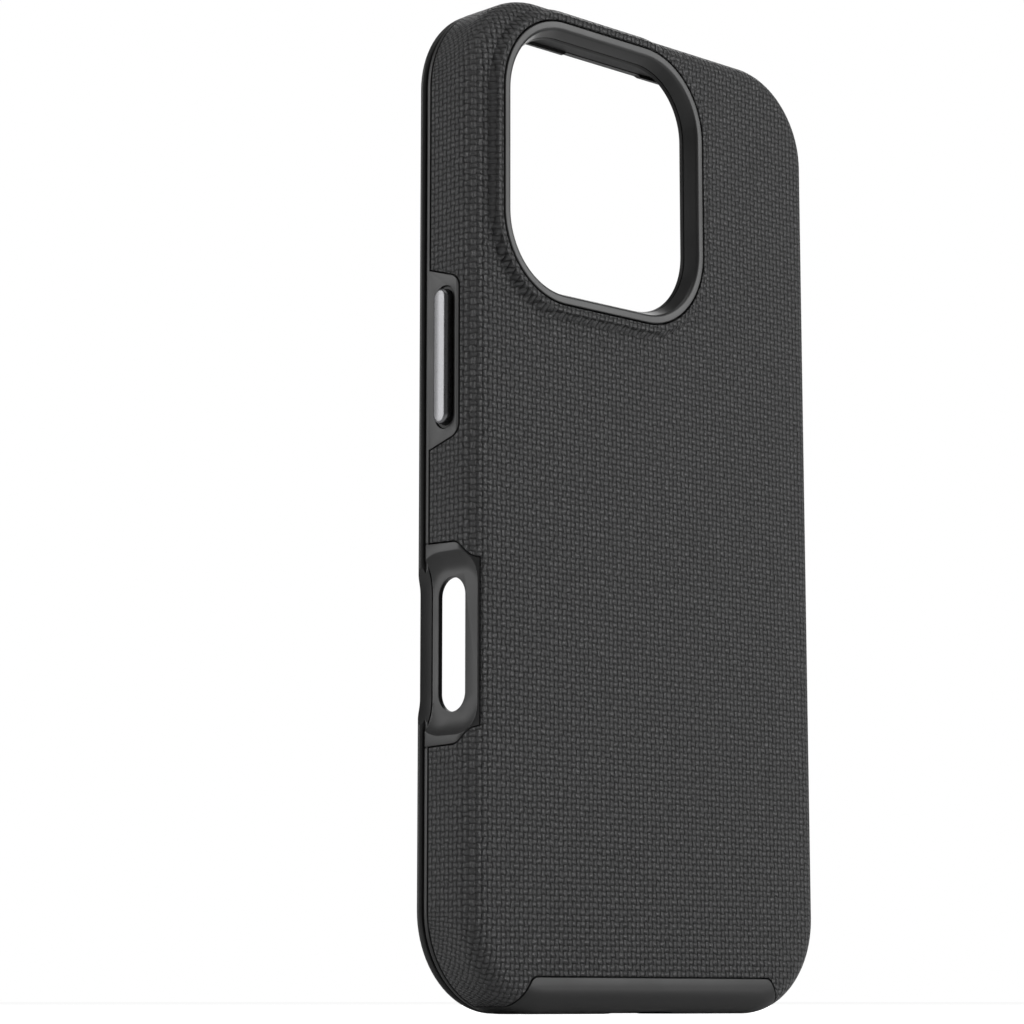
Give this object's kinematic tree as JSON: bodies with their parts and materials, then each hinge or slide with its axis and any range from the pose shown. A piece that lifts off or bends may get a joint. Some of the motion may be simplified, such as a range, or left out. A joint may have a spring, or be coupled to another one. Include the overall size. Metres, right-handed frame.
{
  "type": "phone case",
  "caption": "Protective phone case: open tray with a soft inner frame, a finely textured hard outer shell, a raised camera ring, press buttons and a recessed side control slot.",
  "frame": {"origin": "centre of the bounding box's bottom face, with the case upright and its bottom edge down; let go there, it tips over", "axes": "+Z to the phone's top edge, +Y out of the back, -Y out of the open screen side, +X to the phone's right side as seen from the screen"},
  "size_m": [0.0794, 0.0134, 0.1551],
  "materials": {
    "hard_shell": "moulded with a fine raised pattern, satin black",
    "soft_frame": "smooth, satin black",
    "soft_liner": "smooth, matt black",
    "camera_trim": "smooth, satin black",
    "button_metal": "dark anodised with a polished edge",
    "black_insert": "matt black"
  },
  "bodies": {
    "case": {"outer_shell": "hard_shell", "bumper_frame": "soft_frame", "front_lip": "soft_frame", "inner_liner": "soft_liner", "camera_ring": "camera_trim", "camera_gasket": "black_insert", "camera_control_bezel": "soft_frame", "corner_cushion_top_right": "soft_liner", "corner_cushion_top_left": "soft_liner", "corner_cushion_bottom_left": "soft_liner", "corner_cushion_bottom_right": "soft_liner", "action_sleeve": "black_insert", "volume_up_sleeve": "black_insert", "volume_down_sleeve": "black_insert", "side_sleeve": "black_insert"},
    "action_key": {"action_button": "button_metal", "action_plunger": "black_insert"},
    "volume_up_key": {"volume_up_button": "button_metal", "volume_up_plunger": "black_insert"},
    "volume_down_key": {"volume_down_button": "button_metal", "volume_down_plunger": "black_insert"},
    "side_key": {"side_button": "button_metal", "side_plunger": "black_insert"}
  },
  "joints": [
    {"name": "action_press", "type": "slide", "parent": "case", "child": "action_key", "axis": [1, 0, 0], "range_m": [0, 0.0004], "stiffness_N_per_m": 2500},
    {"name": "volume_up_press", "type": "slide", "parent": "case", "child": "volume_up_key", "axis": [1, 0, 0], "range_m": [0, 0.0004], "stiffness_N_per_m": 2500},
    {"name": "volume_down_press", "type": "slide", "parent": "case", "child": "volume_down_key", "axis": [1, 0, 0], "range_m": [0, 0.0004], "stiffness_N_per_m": 2500},
    {"name": "side_press", "type": "slide", "parent": "case", "child": "side_key", "axis": [-1, 0, 0], "range_m": [0, 0.0004], "stiffness_N_per_m": 2500}
  ]
}
